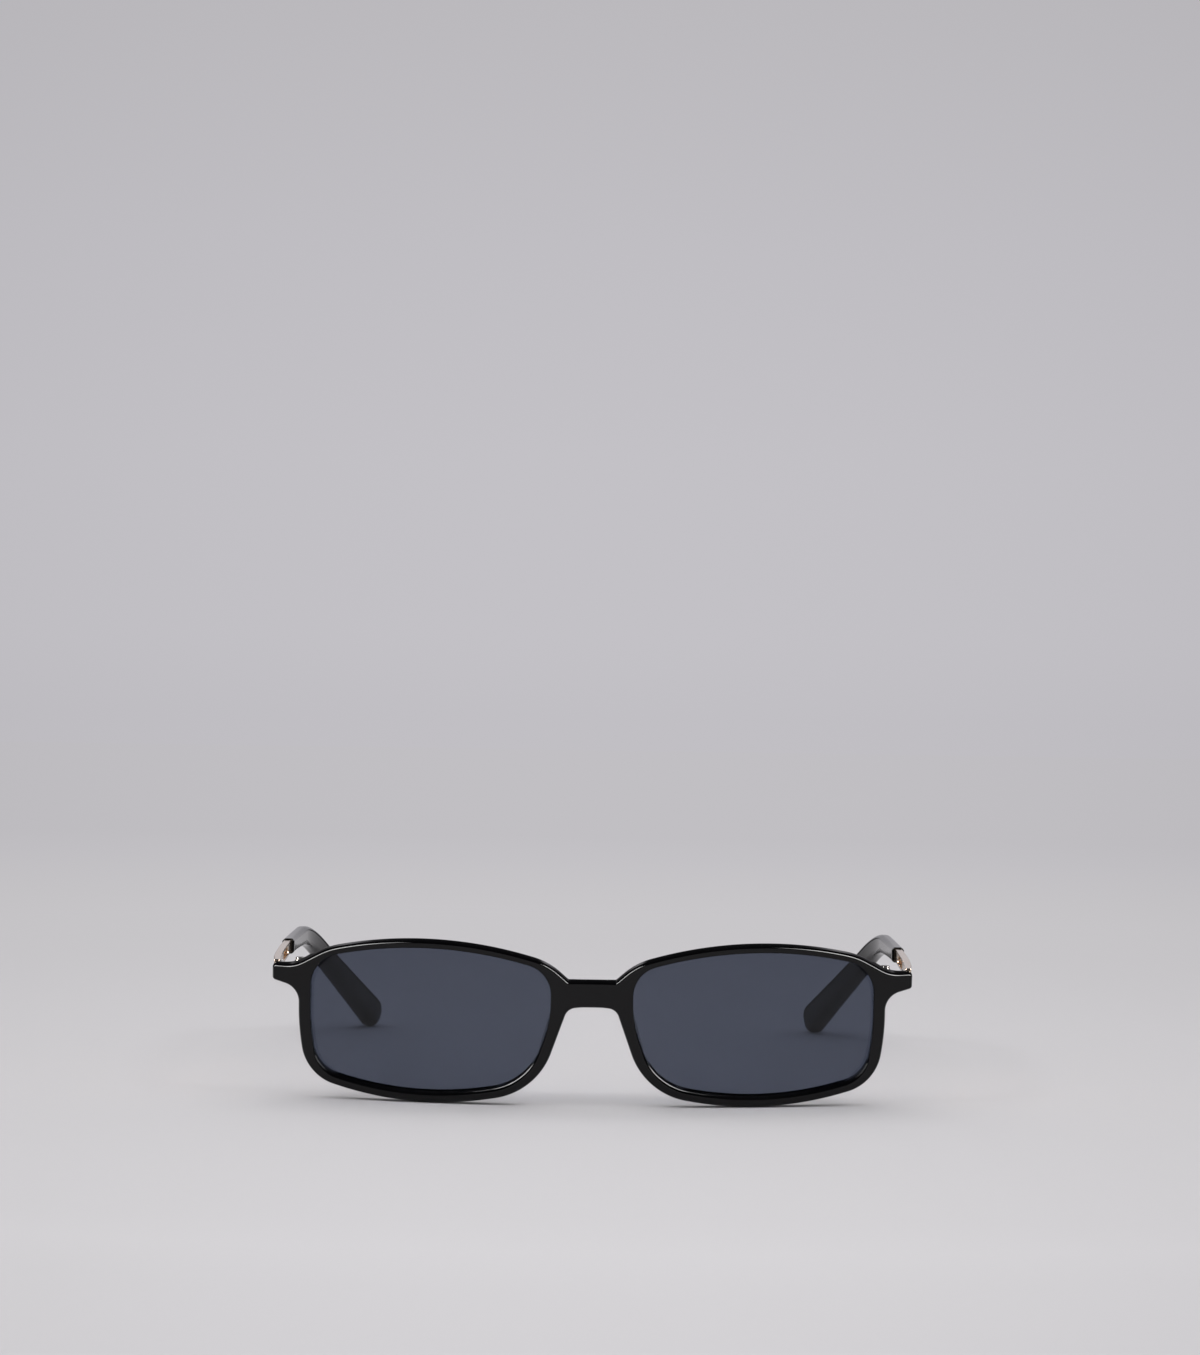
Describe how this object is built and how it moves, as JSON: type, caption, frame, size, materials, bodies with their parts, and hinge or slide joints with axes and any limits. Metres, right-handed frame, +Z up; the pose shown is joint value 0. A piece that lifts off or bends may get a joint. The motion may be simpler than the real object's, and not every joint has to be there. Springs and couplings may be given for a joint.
{
  "type": "sunglasses",
  "caption": "Slim rectangular sunglasses with a curved one-piece front, tinted lenses, slotted metal temple bars and plastic sleeves that bend down to paddle tips, on folding screw hinges.",
  "frame": {"origin": "middle of the footprint, on the surface that the open glasses stand on", "axes": "+X towards the wearer's left, +Y from the lenses back to the temple tips, +Z up"},
  "size_m": [0.152, 0.149, 0.0362],
  "materials": {
    "front": "polished black plastic",
    "lens": "polished, see-through dark grey tint",
    "pads": "polished black plastic",
    "hinges": "bright plated",
    "bars": "polished and plated in pale gold",
    "sleeves": "polished black plastic"
  },
  "bodies": {
    "front": {"front_frame": "front", "lens_left": "lens", "lens_right": "lens", "nose_pad_left": "pads", "nose_pad_right": "pads", "front_hinge_left": "hinges", "front_hinge_right": "hinges", "hinge_screw_left": "hinges", "hinge_screw_right": "hinges"},
    "temple_left": {"temple_hinge_left": "hinges", "temple_bar_left": "bars", "core_wire_left": "hinges", "temple_sleeve_left": "sleeves"},
    "temple_right": {"temple_hinge_right": "hinges", "temple_bar_right": "bars", "core_wire_right": "hinges", "temple_sleeve_right": "sleeves"}
  },
  "joints": [
    {"name": "hinge_left", "type": "hinge", "parent": "front", "child": "temple_left", "pos_m": [0.0654, -0.05751, 0.02816], "axis": [0, -0.1219, 0.9925], "range_deg": [0, 90]},
    {"name": "hinge_right", "type": "hinge", "parent": "front", "child": "temple_right", "pos_m": [-0.0654, -0.05751, 0.02816], "axis": [0, 0.1219, -0.9925], "range_deg": [0, 84]}
  ]
}
